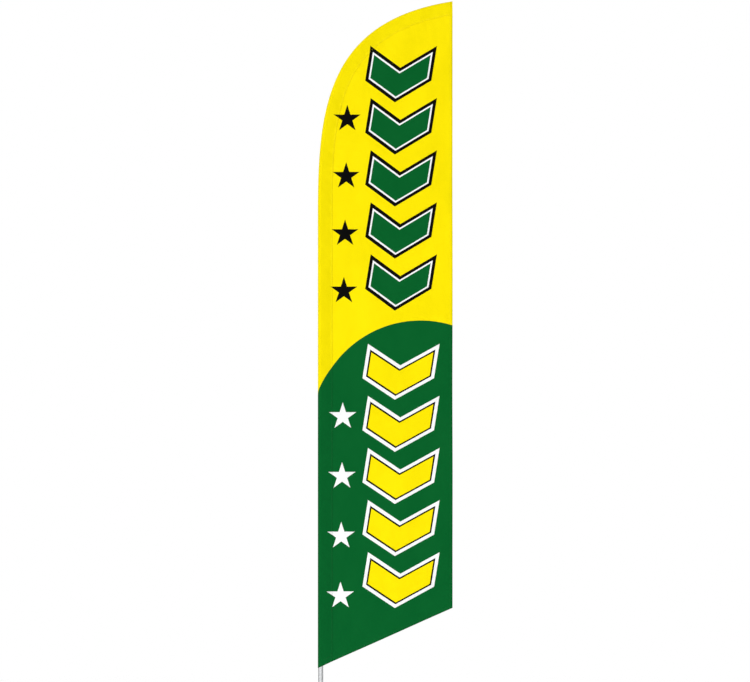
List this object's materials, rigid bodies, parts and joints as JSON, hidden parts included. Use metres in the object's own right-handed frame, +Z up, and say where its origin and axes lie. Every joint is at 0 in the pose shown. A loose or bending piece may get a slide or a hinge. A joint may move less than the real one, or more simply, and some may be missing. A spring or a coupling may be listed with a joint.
{
  "type": "feather flag with pole",
  "caption": "Tall feather flag with a curved shoulder, sleeved on a sectional pole that turns on a ball-bearing ground spike.",
  "frame": {"origin": "on the pole's axis at ground level, the underside of the foot plate", "axes": "+Z up along the pole, +X from the pole towards the flag's free edge, +Y towards the flag's back"},
  "size_m": [0.7477, 0.11, 4.757],
  "materials": {
    "flag_cloth": "knitted polyester, yellow above and green below, printed through",
    "webbing": "black woven webbing",
    "aluminium_tube": "drawn, satin",
    "fibreglass": "dark pultruded fibreglass",
    "black_nylon": "moulded, satin",
    "rubber": "matte",
    "zinc_steel": "zinc plated",
    "bright_steel": "bright plated"
  },
  "bodies": {
    "ground_spike": {"spike_blade_side": "zinc_steel", "spike_blade_cross": "zinc_steel", "foot_plate": "zinc_steel", "bearing_housing": "zinc_steel", "housing_clip": "bright_steel", "housing_plug": "zinc_steel", "bearing_spacer": "zinc_steel", "lower_bearing_outer_ring": "bright_steel", "upper_bearing_outer_ring": "bright_steel"},
    "spindle": {"spindle": "bright_steel", "spindle_clip": "bright_steel", "dust_cap": "rubber", "o_ring_lower": "rubber", "o_ring_upper": "rubber", "lower_bearing_inner_ring": "bright_steel", "upper_bearing_inner_ring": "bright_steel"},
    "lower_cage": {"lower_bearing_balls": "bright_steel"},
    "upper_cage": {"upper_bearing_balls": "bright_steel"},
    "pole_and_flag": {"pole_section_1": "aluminium_tube", "pole_section_2": "aluminium_tube", "pole_section_3": "fibreglass", "pole_tip_rod": "fibreglass", "pole_foot_ferrule": "black_nylon", "joint_collar_1": "black_nylon", "joint_collar_2": "black_nylon", "joint_collar_3": "black_nylon", "pole_tip_cap": "rubber", "flag_panel": "flag_cloth", "free_edge_hem": "flag_cloth", "bottom_hem": "flag_cloth", "pole_sleeve": "flag_cloth", "sleeve_end_seam": "flag_cloth", "mouth_webbing": "webbing", "tip_pocket": "webbing", "tie_strap": "webbing", "tie_eyelet": "bright_steel", "keeper_band": "bright_steel", "keeper_screw": "bright_steel", "keeper_nut": "bright_steel"}
  },
  "joints": [
    {"name": "flag_swivel", "type": "hinge", "parent": "ground_spike", "child": "spindle", "pos_m": [0, 0, 0], "axis": [0, 0, 1], "continuous": true},
    {"name": "lower_cage_roll", "type": "hinge", "parent": "ground_spike", "child": "lower_cage", "pos_m": [0, 0, 0], "axis": [0, 0, 1], "continuous": true},
    {"name": "upper_cage_roll", "type": "hinge", "parent": "ground_spike", "child": "upper_cage", "pos_m": [0, 0, 0], "axis": [0, 0, 1], "continuous": true},
    {"name": "pole_lift", "type": "slide", "parent": "spindle", "child": "pole_and_flag", "axis": [0, 0, 1], "range_m": [0, 0.25]}
  ],
  "couplings": [
    {"joint": "lower_cage_roll", "follows": "flag_swivel", "ratio": 0.39},
    {"joint": "upper_cage_roll", "follows": "flag_swivel", "ratio": 0.39}
  ]
}
